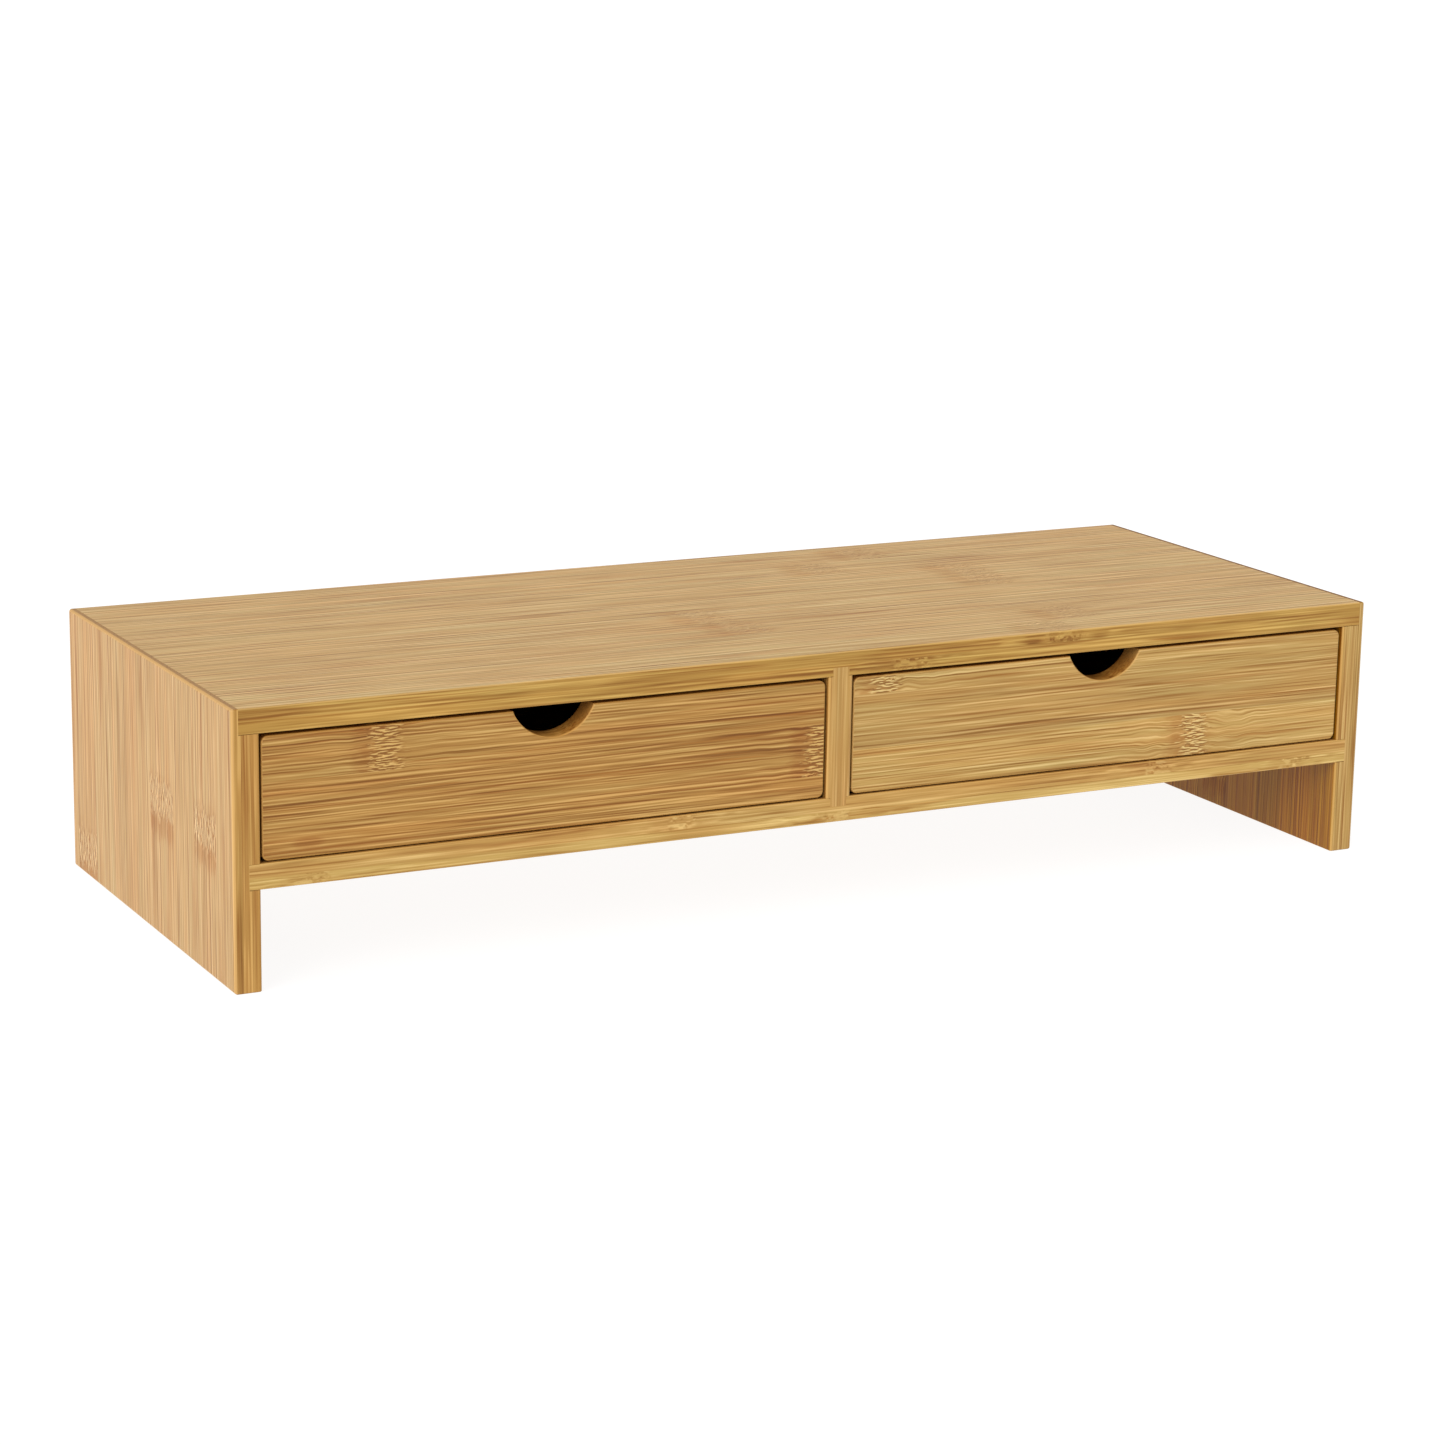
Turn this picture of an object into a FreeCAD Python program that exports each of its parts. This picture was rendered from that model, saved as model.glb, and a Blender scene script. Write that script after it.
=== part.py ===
import FreeCAD, Part

import os
import re

import Sketcher

# Bamboo desk riser: two full-height side panels, a top, a shelf below it, a divider and two drawers.
# Millimetres. X runs left to right, Y front to back and Z up. The origin is at the middle of the
# footprint, on the surface that the legs stand on, and the drawers open towards -Y.

# Every size that can be set by itself, written once: alias, value, what it is.
SIZES = (
    ("width", 560, "overall, left to right"),
    ("depth", 215, "overall, front to back"),
    ("height", 120, "overall, floor to top face"),
    ("leg_height", 43.5, "clear space under the shelf"),
    ("side_board", 12, "thickness of the side panels"),
    ("top_board", 11, "thickness of the top panel"),
    ("shelf_board", 11, "thickness of the shelf"),
    ("divider_board", 12, "thickness of the centre divider"),
    ("back_board", 5, "thickness of the back panel"),
    ("rabbet_lip", 3, "what is left of the side panel beside the end of the top panel"),
    ("shelf_housing", 5, "how deep the shelf is let into each side panel"),
    ("tongue_width", 8, "thickness of the divider's tongues"),
    ("tongue_height", 4, "how deep the divider's tongues are let in"),
    ("back_housing", 4, "how deep the back panel is let in all round"),
    ("back_inset", 8, "rear edge of the boards to the back panel"),
    ("outer_arris", 1.5, "rounding of the side panels' outer edges"),
    ("top_arris", 0.8, "rounding of the front and rear edges of the top face"),
    ("upright_arris", 1.2, "rounding of the upright edges beside the drawers and inside the legs"),
    ("board_arris", 0.6, "rounding of the other exposed edges"),
    ("front_board", 11, "thickness of the drawer fronts"),
    ("front_recess", 1, "how far the drawer fronts sit inside the opening"),
    ("front_side_gap", 1, "drawer front to the opening's walls"),
    ("front_top_gap", 1.5, "drawer front to the top panel"),
    ("front_bottom_gap", 0.5, "drawer front to the shelf"),
    ("front_corner", 3, "corner radius of the drawer fronts, seen from the front"),
    ("front_arris", 0.8, "rounding of the drawer fronts' front edges"),
    ("notch_radius", 20, "radius of the finger notch"),
    ("notch_depth", 12.5, "depth of the finger notch below the front's top edge"),
    ("box_board", 8, "thickness of the drawer sides and back"),
    ("box_side_gap", 1.5, "drawer side to the opening's walls"),
    ("box_drop", 6.5, "how far the drawer box is below the front's top edge"),
    ("run_clearance", 0.2, "drawer box to the shelf that it runs on"),
    ("back_clearance", 1, "closed drawer to the back panel"),
    ("floor_board", 4, "thickness of the drawer bottoms"),
    ("floor_rise", 6, "lower edge of the box to the drawer bottom"),
    ("floor_housing", 4, "how deep the drawer bottom's grooves are"),
    ("floor_play", 0.3, "drawer bottom to the end of its grooves"),
    ("dowel_radius", 2.5, "carcass dowels"),
    ("dowel_margin", 32, "outermost carcass dowels to the boards' front and rear edges"),
    ("dowel_sink", 15, "top dowels in the side panels"),
    ("dowel_rise", 7, "top dowels in the top panel"),
    ("dowel_side", 4, "shelf dowels in the side panels"),
    ("dowel_shelf", 14, "shelf dowels in the shelf"),
    ("pin_radius", 2, "drawer dowels"),
    ("pin_front", 7, "front dowels in the drawer front"),
    ("pin_side", 13, "front dowels in the drawer sides"),
    ("pin_wall", 5, "back dowels in the drawer sides"),
    ("pin_back", 11, "back dowels in the drawer back"),
    ("glue_gap", 0.1, "dowel to the wall and the end of its hole"),
)

# Places worked out from the sizes. Those across X are distances from the middle of the part, or of
# the drawer for a drawer's own pieces.
PLACES = {
    "half_width": "width / 2",
    "front": "-depth / 2",
    "rear": "depth / 2",
    "shelf_top": "leg_height + shelf_board",
    "ceiling": "height - top_board",
    "wall": "half_width - side_board",
    "top_end": "half_width - rabbet_lip",
    "shelf_end": "wall + shelf_housing",
    "divider_half": "divider_board / 2",
    "tongue_half": "tongue_width / 2",
    "back_rear": "rear - back_inset",
    "back_front": "back_rear - back_board",
    "back_end": "wall + back_housing",
    "opening_centre": "(wall + divider_half) / 2",
    "opening_half": "(wall - divider_half) / 2",
    "face": "front + front_recess",
    "face_rear": "face + front_board",
    "face_half": "opening_half - front_side_gap",
    "face_low": "shelf_top + front_bottom_gap",
    "face_high": "ceiling - front_top_gap",
    "notch_centre": "face_high - notch_depth + notch_radius",
    "box_low": "shelf_top + run_clearance",
    "box_high": "face_high - box_drop",
    "box_half": "opening_half - box_side_gap",
    "box_inner": "box_half - box_board",
    "box_rear": "back_front - back_clearance",
    "box_back": "box_rear - box_board",
    "floor_low": "box_low + floor_rise",
    "floor_high": "floor_low + floor_board",
    "floor_groove": "box_inner + floor_housing",
    "floor_end": "floor_groove - floor_play",
    "floor_front_groove": "face_rear - floor_housing",
    "floor_front": "floor_front_groove + floor_play",
    "lip_middle": "(wall + top_end) / 2",
    "shelf_middle": "leg_height + shelf_board / 2",
    "dowel_end": "rear - dowel_margin",
    "pin_row": "box_half - box_board / 2",
    "pin_lower": "floor_high + (box_high - floor_high) / 4",
    "pin_upper": "box_high - (box_high - floor_high) / 4",
    "pin_back_row": "box_rear - box_board / 2",
}
HANDS = (("left", "-1"), ("right", "1"))
TOP_DOWELS = ("-dowel_end", "0", "dowel_end")
SHELF_DOWELS = ("-dowel_end", "dowel_end")
PIN_HEIGHTS = ("pin_lower", "pin_upper")
DOWEL_HOLE = "dowel_radius + glue_gap"
PIN_HOLE = "pin_radius + glue_gap"
TOUCH = 0.001

doc = FreeCAD.newDocument("desk_riser")
sheet = doc.addObject("Spreadsheet::Sheet", "sizes")
for row, (alias, size, meaning) in enumerate(SIZES, start=1):
    sheet.set(f"A{row}", alias)
    sheet.set(f"B{row}", str(size))
    sheet.set(f"C{row}", meaning)
    sheet.setAlias(f"B{row}", alias)
doc.recompute()


def bound(text):
    """An expression on the sheet's cells, with every place written out in sizes."""
    def word(match):
        name = match.group()
        return f"({bound(PLACES[name])})" if name in PLACES else f"sizes.{name}"
    return re.sub(r"[a-z_]+", word, text)


def value(text):
    """The number that an expression gives now."""
    return float(sheet.evalExpression(bound(text)))


def new_sketch(body, name, role, offset):
    """A sketch on one of the body's own origin planes, moved along that plane's normal."""
    sketch = body.newObject("Sketcher::SketchObject", name)
    plane = next(item for item in body.Origin.OriginFeatures if item.Role == role)
    sketch.AttachmentSupport = [(plane, "")]
    sketch.MapMode = "FlatFace"
    sketch.setExpression("AttachmentOffset.Base.z", bound(offset))
    return sketch


def place_point(sketch, geometry, point, place):
    """Holds a point of the sketch at its two distances from the sketch's origin."""
    for kind, text in zip(("DistanceX", "DistanceY"), place):
        number = sketch.addConstraint(Sketcher.Constraint(kind, -1, 1, geometry, point, value(text)))
        sketch.setExpression(f"Constraints[{number}]", bound(text))


def draw_outline(sketch, corners):
    """A closed outline of straight edges through the corners."""
    points = [FreeCAD.Vector(value(across), value(up), 0) for across, up in corners]
    count = len(points)
    for index, start in enumerate(points):
        sketch.addGeometry(Part.LineSegment(start, points[(index + 1) % count]), False)
    for index, corner in enumerate(corners):
        before = (index - 1) % count
        sketch.addConstraint(Sketcher.Constraint("Coincident", before, 2, index, 1))
        place_point(sketch, index, 1, corner)


def draw_circles(sketch, centres, radius):
    """Circles of one radius."""
    for centre in centres:
        middle = FreeCAD.Vector(value(centre[0]), value(centre[1]), 0)
        number = sketch.addGeometry(Part.Circle(middle, FreeCAD.Vector(0, 0, 1), value(radius)), False)
        place_point(sketch, number, 3, centre)
        size = sketch.addConstraint(Sketcher.Constraint("Radius", number, value(radius)))
        sketch.setExpression(f"Constraints[{size}]", bound(radius))


def prism(body, kind, name, role, profile, low, high):
    """Adds a Pad, or cuts a Pocket, of a profile between two places along its plane's axis.

    The profile is a list of corners, or a tuple of circle centres and their radius.
    """
    faces_front = role == "XZ_Plane"
    offset = high if (kind == "Pocket") != faces_front else low
    if faces_front:
        offset = f"-({offset})"
    sketch = new_sketch(body, f"{name}_profile", role, offset)
    if isinstance(profile, tuple):
        draw_circles(sketch, *profile)
    else:
        draw_outline(sketch, profile)
    feature = body.newObject(f"PartDesign::{kind}", name)
    feature.Profile = sketch
    feature.setExpression("Length", bound(f"({high}) - ({low})"))


def rectangle(left, bottom, right, top):
    """The corners of a rectangle, in order."""
    return [(left, bottom), (right, bottom), (right, top), (left, top)]


def mirrored(hand, low, high):
    """Two places across X on one hand of the part, lower value first."""
    return sorted((f"{hand} * ({low})", f"{hand} * ({high})"), key=value)


def lies(edge, axis, *places):
    """True for an edge that lies wholly at one of these places along the axis."""
    low = getattr(edge.BoundBox, f"{axis}Min")
    high = getattr(edge.BoundBox, f"{axis}Max")
    return any(abs(low - value(place)) < TOUCH and abs(high - value(place)) < TOUCH for place in places)


def ease(body, name, radius, chosen):
    """Rounds those edges of the body so far that the test picks."""
    doc.recompute()
    base = body.Tip
    edges = [f"Edge{number}" for number, edge in enumerate(base.Shape.Edges, start=1) if chosen(edge)]
    if not edges:
        raise RuntimeError(f"{body.Label}: {name} finds no edge")
    fillet = body.newObject("PartDesign::Fillet", name)
    fillet.Base = (base, edges)
    fillet.setExpression("Radius", bound(radius))


def board(name, profile, low="front", high="rear", shift="0"):
    """A body that starts as a board: a profile seen from the front, between two depths.

    The shift is how far the middle of the piece's own drawer lies from the middle of the part.
    """
    body = doc.addObject("PartDesign::Body", name)
    body.Label = name
    body.setExpression("Placement.Base.x", bound(shift))
    prism(body, "Pad", "blank", "XZ_Plane", profile, low, high)
    return body


def rods(name, radius, starts, length, direction, shift="0"):
    """A group of separate round rods of one length, each from its start along the direction.

    A direction across X is turned round for the rods that start left of the middle.
    """
    links = []
    for number, start in enumerate(starts, start=1):
        way = FreeCAD.Vector(*direction)
        if value(start[0]) < 0:
            way.x = -way.x
        rod = doc.addObject("Part::Cylinder", f"{name}_{number}")
        rod.Placement = FreeCAD.Placement(FreeCAD.Vector(), FreeCAD.Rotation(FreeCAD.Vector(0, 0, 1), way))
        rod.setExpression("Radius", bound(radius))
        rod.setExpression("Height", bound(length))
        for axis, place in zip("xyz", start):
            rod.setExpression(f"Placement.Base.{axis}", bound(place))
        links.append(rod)
    group = doc.addObject("Part::Compound", name)
    group.Label = name
    group.Links = links
    group.setExpression("Placement.Base.x", bound(shift))
    return group


def side_panel(hand_name, hand):
    """A full-height side with a rabbet for the top, a housing for the shelf and a back groove."""
    places = ("half_width", "wall", "top_end", "shelf_end")
    outer, inner, lip, floor = (f"{hand} * ({place})" for place in places)
    body = board(f"{hand_name}_side_panel", [
        (outer, "0"), (inner, "0"), (inner, "leg_height"), (floor, "leg_height"), (floor, "shelf_top"),
        (inner, "shelf_top"), (inner, "ceiling"), (lip, "ceiling"), (lip, "height"), (outer, "height"),
    ])
    left, right = mirrored(hand, "wall", "back_end")
    prism(body, "Pocket", "back_groove", "XY_Plane",
          rectangle(left, "back_front", right, "back_rear"), "shelf_top", "ceiling")
    ledge = [(f"{hand} * lip_middle", place) for place in TOP_DOWELS]
    prism(body, "Pocket", "top_dowel_holes", "XY_Plane", (ledge, DOWEL_HOLE),
          "ceiling - dowel_sink - glue_gap", "ceiling")
    housing = [(place, "shelf_middle") for place in SHELF_DOWELS]
    prism(body, "Pocket", "shelf_dowel_holes", "YZ_Plane", (housing, DOWEL_HOLE),
          *mirrored(hand, "shelf_end", "shelf_end + dowel_side + glue_gap"))
    ease(body, "outer_edges", "outer_arris", lambda edge: lies(edge, "X", outer))
    ease(body, "lip_edges", "top_arris",
         lambda edge: lies(edge, "Y", "front", "rear") and lies(edge, "Z", "height"))
    ease(body, "upright_edges", "upright_arris",
         lambda edge: lies(edge, "Y", "front", "rear") and lies(edge, "X", inner))
    ease(body, "foot_edge", "board_arris", lambda edge: lies(edge, "X", inner) and lies(edge, "Z", "0"))
    return body


def top_panel():
    """The top, grooved underneath for the divider and the back panel."""
    body = board("top_panel", rectangle("-top_end", "ceiling", "top_end", "height"))
    divider_groove = rectangle("-tongue_half", "ceiling", "tongue_half", "ceiling + tongue_height")
    prism(body, "Pocket", "divider_groove", "XZ_Plane", divider_groove, "front", "back_front")
    back_groove = rectangle("-back_end", "back_front", "back_end", "back_rear")
    prism(body, "Pocket", "back_groove", "XY_Plane", back_groove, "ceiling", "ceiling + back_housing")
    holes = [(f"{hand} * lip_middle", place) for _, hand in HANDS for place in TOP_DOWELS]
    prism(body, "Pocket", "dowel_holes", "XY_Plane", (holes, DOWEL_HOLE),
          "ceiling", "ceiling + dowel_rise + glue_gap")
    ease(body, "top_edges", "top_arris",
         lambda edge: lies(edge, "Y", "front", "rear") and lies(edge, "Z", "height"))
    ease(body, "under_edges", "board_arris",
         lambda edge: lies(edge, "Y", "front", "rear") and lies(edge, "Z", "ceiling"))
    return body


def shelf_panel():
    """The shelf that the drawers run on, grooved above for the divider and the back panel."""
    body = board("shelf_panel", rectangle("-shelf_end", "leg_height", "shelf_end", "shelf_top"))
    divider_groove = rectangle("-tongue_half", "shelf_top - tongue_height", "tongue_half", "shelf_top")
    prism(body, "Pocket", "divider_groove", "XZ_Plane", divider_groove, "front", "back_front")
    back_groove = rectangle("-back_end", "back_front", "back_end", "back_rear")
    prism(body, "Pocket", "back_groove", "XY_Plane", back_groove, "shelf_top - back_housing", "shelf_top")
    holes = [(place, "shelf_middle") for place in SHELF_DOWELS]
    for hand_name, hand in HANDS:
        prism(body, "Pocket", f"{hand_name}_dowel_holes", "YZ_Plane", (holes, DOWEL_HOLE),
              *mirrored(hand, "shelf_end - dowel_shelf - glue_gap", "shelf_end"))
    ease(body, "exposed_edges", "board_arris",
         lambda edge: lies(edge, "Y", "front", "rear") and lies(edge, "Z", "leg_height", "shelf_top"))
    return body


def centre_divider():
    """The board between the drawers, with a tongue along its top and its bottom."""
    half = [
        ("tongue_half", "shelf_top - tongue_height"), ("tongue_half", "shelf_top"),
        ("divider_half", "shelf_top"), ("divider_half", "ceiling"),
        ("tongue_half", "ceiling"), ("tongue_half", "ceiling + tongue_height"),
    ]
    other_half = [(f"-({across})", up) for across, up in reversed(half)]
    body = board("centre_divider", half + other_half, high="back_front")
    ease(body, "upright_edges", "upright_arris",
         lambda edge: lies(edge, "Y", "front") and lies(edge, "X", "divider_half", "-divider_half"))
    return body


def back_panel():
    """The thin board behind the drawers, let in all round."""
    profile = rectangle("-back_end", "shelf_top - back_housing", "back_end", "ceiling + back_housing")
    return board("back_panel", profile, "back_front", "back_rear")


def carcass_dowels(hand_name, hand):
    """The upright dowels under one end of the top, and the level ones in one end of the shelf."""
    upright = [(f"{hand} * lip_middle", place, "ceiling - dowel_sink") for place in TOP_DOWELS]
    level = [(f"{hand} * (shelf_end - dowel_shelf)", place, "shelf_middle") for place in SHELF_DOWELS]
    return [
        rods(f"{hand_name}_top_dowels", "dowel_radius", upright, "dowel_sink + dowel_rise", (0, 0, 1)),
        rods(f"{hand_name}_shelf_dowels", "dowel_radius", level, "dowel_shelf + dowel_side", (1, 0, 0)),
    ]


def drawer_front(name, shift):
    """A drawer front with rounded corners and a finger notch, grooved behind for the bottom."""
    body = board(f"{name}_front", rectangle("-face_half", "face_low", "face_half", "face_high"),
                 "face", "face_rear", shift)
    ease(body, "corners", "front_corner",
         lambda edge: lies(edge, "X", "face_half", "-face_half") and lies(edge, "Z", "face_low", "face_high"))
    prism(body, "Pocket", "finger_notch", "XZ_Plane", ([("0", "notch_centre")], "notch_radius"),
          "face", "face_rear")
    floor_groove = rectangle("-floor_groove", "floor_front_groove", "floor_groove", "face_rear")
    prism(body, "Pocket", "floor_groove", "XY_Plane", floor_groove, "floor_low", "floor_high")
    holes = [(f"{hand} * pin_row", place) for _, hand in HANDS for place in PIN_HEIGHTS]
    prism(body, "Pocket", "pin_holes", "XZ_Plane", (holes, PIN_HOLE),
          "face_rear - pin_front - glue_gap", "face_rear")
    ease(body, "front_edges", "front_arris", lambda edge: lies(edge, "Y", "face"))
    return body


def drawer_side(name, hand_name, hand, shift):
    """One side of a drawer box, grooved inside for the bottom."""
    left, right = mirrored(hand, "box_inner", "box_half")
    body = board(f"{name}_{hand_name}_side", rectangle(left, "box_low", right, "box_high"),
                 "face_rear", "box_rear", shift)
    groove_left, groove_right = mirrored(hand, "box_inner", "floor_groove")
    prism(body, "Pocket", "floor_groove", "XZ_Plane",
          rectangle(groove_left, "floor_low", groove_right, "floor_high"), "face_rear", "box_rear")
    front_holes = [(f"{hand} * pin_row", place) for place in PIN_HEIGHTS]
    prism(body, "Pocket", "front_pin_holes", "XZ_Plane", (front_holes, PIN_HOLE),
          "face_rear", "face_rear + pin_side + glue_gap")
    back_holes = [("pin_back_row", place) for place in PIN_HEIGHTS]
    prism(body, "Pocket", "back_pin_holes", "YZ_Plane", (back_holes, PIN_HOLE),
          *mirrored(hand, "box_inner", "box_inner + pin_wall + glue_gap"))
    ease(body, "top_edges", "board_arris",
         lambda edge: lies(edge, "X", left, right) and lies(edge, "Z", "box_high"))
    return body


def drawer_back(name, shift):
    """The back of a drawer box, which stands on the bottom between the sides."""
    body = board(f"{name}_back", rectangle("-box_inner", "floor_high", "box_inner", "box_high"),
                 "box_back", "box_rear", shift)
    holes = [("pin_back_row", place) for place in PIN_HEIGHTS]
    for hand_name, hand in HANDS:
        prism(body, "Pocket", f"{hand_name}_pin_holes", "YZ_Plane", (holes, PIN_HOLE),
              *mirrored(hand, "box_inner - pin_back - glue_gap", "box_inner"))
    ease(body, "top_edges", "board_arris",
         lambda edge: lies(edge, "Y", "box_back", "box_rear") and lies(edge, "Z", "box_high"))
    return body


def drawer_bottom(name, shift):
    """The thin bottom, in grooves of the front and the sides and under the back."""
    profile = rectangle("-floor_end", "floor_low", "floor_end", "floor_high")
    return board(f"{name}_bottom", profile, "floor_front", "box_rear", shift)


def drawer_pins(name, shift):
    """The dowels that hold a drawer's sides to its front and to its back."""
    places = [(hand, up) for _, hand in HANDS for up in PIN_HEIGHTS]
    front = [(f"{hand} * pin_row", "face_rear - pin_front", up) for hand, up in places]
    back = [(f"{hand} * (box_inner - pin_back)", "pin_back_row", up) for hand, up in places]
    return [
        rods(f"{name}_front_dowels", "pin_radius", front, "pin_front + pin_side", (0, 1, 0), shift),
        rods(f"{name}_back_dowels", "pin_radius", back, "pin_back + pin_wall", (1, 0, 0), shift),
    ]


def drawer(hand_name, hand):
    """All the pieces of one drawer, closed."""
    name = f"{hand_name}_drawer"
    shift = f"{hand} * opening_centre"
    pieces = [drawer_front(name, shift), drawer_back(name, shift), drawer_bottom(name, shift)]
    pieces += [drawer_side(name, side_name, side, shift) for side_name, side in HANDS]
    return pieces + drawer_pins(name, shift)


def check(pieces):
    """Stops if anything failed, if a cut removed nothing, or if a piece has no sound shape."""
    for item in doc.Objects:
        if "Invalid" in item.State or "Error" in item.State:
            raise RuntimeError(f"{item.Name} failed: {item.State}")
        if item.TypeId == "PartDesign::Pocket" and item.Shape.Volume > item.BaseFeature.Shape.Volume - TOUCH:
            raise RuntimeError(f"{item.Name} of {item.getParentGeoFeatureGroup().Label} cuts nothing")
    for piece in pieces:
        if piece.Shape.isNull() or not piece.Shape.isValid() or not piece.Shape.Solids:
            raise RuntimeError(f"{piece.Label} has no valid solid")


def build():
    """Builds every piece, checks it and writes it to its own file."""
    pieces = [top_panel(), shelf_panel(), centre_divider(), back_panel()]
    for hand_name, hand in HANDS:
        pieces.append(side_panel(hand_name, hand))
        pieces += carcass_dowels(hand_name, hand)
        pieces += drawer(hand_name, hand)
    doc.recompute()
    check(pieces)
    os.makedirs("parts", exist_ok=True)
    for piece in pieces:
        piece.Shape.exportStep(f"parts/{piece.Label}.step")


build()
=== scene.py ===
import math
import random

import bmesh
import bpy
from mathutils import Matrix, Vector


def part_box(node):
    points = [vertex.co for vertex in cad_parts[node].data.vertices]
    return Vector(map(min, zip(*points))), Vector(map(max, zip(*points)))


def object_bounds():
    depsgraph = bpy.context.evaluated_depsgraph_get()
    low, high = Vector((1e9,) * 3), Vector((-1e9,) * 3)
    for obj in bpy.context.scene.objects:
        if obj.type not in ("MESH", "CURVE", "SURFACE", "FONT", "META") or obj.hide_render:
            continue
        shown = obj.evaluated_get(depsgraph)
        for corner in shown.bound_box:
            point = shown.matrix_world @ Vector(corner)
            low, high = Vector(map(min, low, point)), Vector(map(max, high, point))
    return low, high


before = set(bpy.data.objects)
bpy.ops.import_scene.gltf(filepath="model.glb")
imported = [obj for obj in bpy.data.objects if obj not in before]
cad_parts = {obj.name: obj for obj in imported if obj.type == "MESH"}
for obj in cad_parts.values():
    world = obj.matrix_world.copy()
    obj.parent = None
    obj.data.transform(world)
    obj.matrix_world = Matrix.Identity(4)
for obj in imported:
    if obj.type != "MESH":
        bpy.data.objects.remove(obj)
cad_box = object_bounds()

MM = 0.001
TO_MM = 1000.0

# Inputs and outputs of a Mix node that carries colours.
MIX_SHARE = 0
MIX_FIRST = 6
MIX_SECOND = 7
MIX_COLOUR = 2

# Noise runs from 0 to 1 about this value.
NOISE_MIDDLE = 0.5
NOISE_ROUGHNESS = 0.55


class Reading:
    """One output in a finish's nodes. A sum on it adds the Math nodes that work it out."""

    def __init__(self, finish, output):
        self.finish = finish
        self.output = output

    def sum(self, operation, first, second=0.0):
        return self.finish.node("ShaderNodeMath", {"operation": operation}, {0: first, 1: second})

    def __add__(self, other):
        return self.sum("ADD", self, other)

    def __radd__(self, other):
        return self.sum("ADD", other, self)

    def __sub__(self, other):
        return self.sum("SUBTRACT", self, other)

    def __rsub__(self, other):
        return self.sum("SUBTRACT", other, self)

    def __mul__(self, other):
        return self.sum("MULTIPLY", self, other)

    def __rmul__(self, other):
        return self.sum("MULTIPLY", other, self)

    def __truediv__(self, other):
        return self.sum("DIVIDE", self, other)

    def __rtruediv__(self, other):
        return self.sum("DIVIDE", other, self)

    def __gt__(self, other):
        return self.sum("GREATER_THAN", self, other)

    def __lt__(self, other):
        return self.sum("LESS_THAN", self, other)

    def __abs__(self):
        return self.sum("ABSOLUTE", self)

    def larger(self, other):
        return self.sum("MAXIMUM", self, other)

    def fade(self, start, end):
        """0 at start and 1 at end, with a soft step between."""
        values = {"Value": self, "From Min": start, "From Max": end, "To Min": 0.0, "To Max": 1.0}
        if start > end:
            values = {"Value": self, "From Min": end, "From Max": start, "To Min": 1.0, "To Max": 0.0}
        return self.finish.node("ShaderNodeMapRange", {"interpolation_type": "SMOOTHSTEP"}, values)

    def beside(self, result):
        """Another output of the same node."""
        return Reading(self.finish, self.output.node.outputs[result])


class Finish:
    """One material, made node by node."""

    def __init__(self, name):
        self.material = bpy.data.materials.new(name)
        self.material.use_nodes = True
        self.tree = self.material.node_tree
        self.tree.nodes.clear()

    def node(self, kind, settings, values, result=0):
        """Adds a node: its settings first, then the values or links of its sockets."""
        made = self.tree.nodes.new(kind)
        for name, setting in settings.items():
            if name == "stops":
                self.set_stops(made.color_ramp, setting)
            elif name == "ramp":
                made.color_ramp.interpolation = setting
            else:
                setattr(made, name, setting)
        for socket, value in values.items():
            if isinstance(value, Reading):
                self.tree.links.new(value.output, made.inputs[socket])
            else:
                made.inputs[socket].default_value = value
        if made.outputs:
            return Reading(self, made.outputs[result])

    def set_stops(self, ramp, stops):
        """Gives a ramp its stops, each a place from 0 to 1 and a colour."""
        while len(ramp.elements) < len(stops):
            ramp.elements.new(1.0)
        for element, (place, colour) in zip(ramp.elements, stops):
            element.position = place
            element.color = (*colour, 1.0)

    def blend(self, share, first, second, how="MIX"):
        """Mixes two colours."""
        settings = {"data_type": "RGBA", "blend_type": how, "clamp_factor": True}
        values = {MIX_SHARE: share, MIX_FIRST: solid(first), MIX_SECOND: solid(second)}
        return self.node("ShaderNodeMix", settings, values, MIX_COLOUR)

    def scaled(self, vector, size):
        """A vector or colour, made larger or smaller."""
        return self.node("ShaderNodeVectorMath", {"operation": "SCALE"}, {0: vector, "Scale": size})

    def stretched(self, place, lengths):
        """A place in millimetres, measured in grain lengths along, across and through."""
        shares = tuple(1.0 / length for length in lengths)
        return self.node("ShaderNodeVectorMath", {"operation": "MULTIPLY"}, {0: place, 1: shares})

    def streaks(self, place, lengths, detail=0.0):
        """Noise about 0, drawn out along the grain."""
        grain = self.stretched(place, lengths)
        values = {"Vector": grain, "Scale": 1.0, "Detail": detail, "Roughness": NOISE_ROUGHNESS}
        return self.node("ShaderNodeTexNoise", {}, values) - NOISE_MIDDLE

    def tinted(self, colour, share):
        """A colour times another."""
        return self.blend(1.0, colour, share, "MULTIPLY")

    def vector(self, x, y, z):
        """Three values joined in one."""
        return self.node("ShaderNodeCombineXYZ", {}, {"X": x, "Y": y, "Z": z})

    def surface(self, **values):
        """The shader and the output. A word in a socket's name is joined to the next with _."""
        sockets = {name.replace("_", " "): value for name, value in values.items()}
        shader = self.node("ShaderNodeBsdfPrincipled", {}, sockets)
        self.node("ShaderNodeOutputMaterial", {}, {"Surface": shader})
        return self.material


def solid(colour):
    """A colour with its alpha, for a socket. Links pass unchanged."""
    if isinstance(colour, Reading):
        return colour
    return (*colour, 1.0)


# ---------------------------------------------------------------- bamboo

# Lengths are in millimetres, except the bump's depth. Three lengths in a row are those along the grain,
# across it and through the board. A fade is the pair of values where a mask is 0 and where it is 1.

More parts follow.
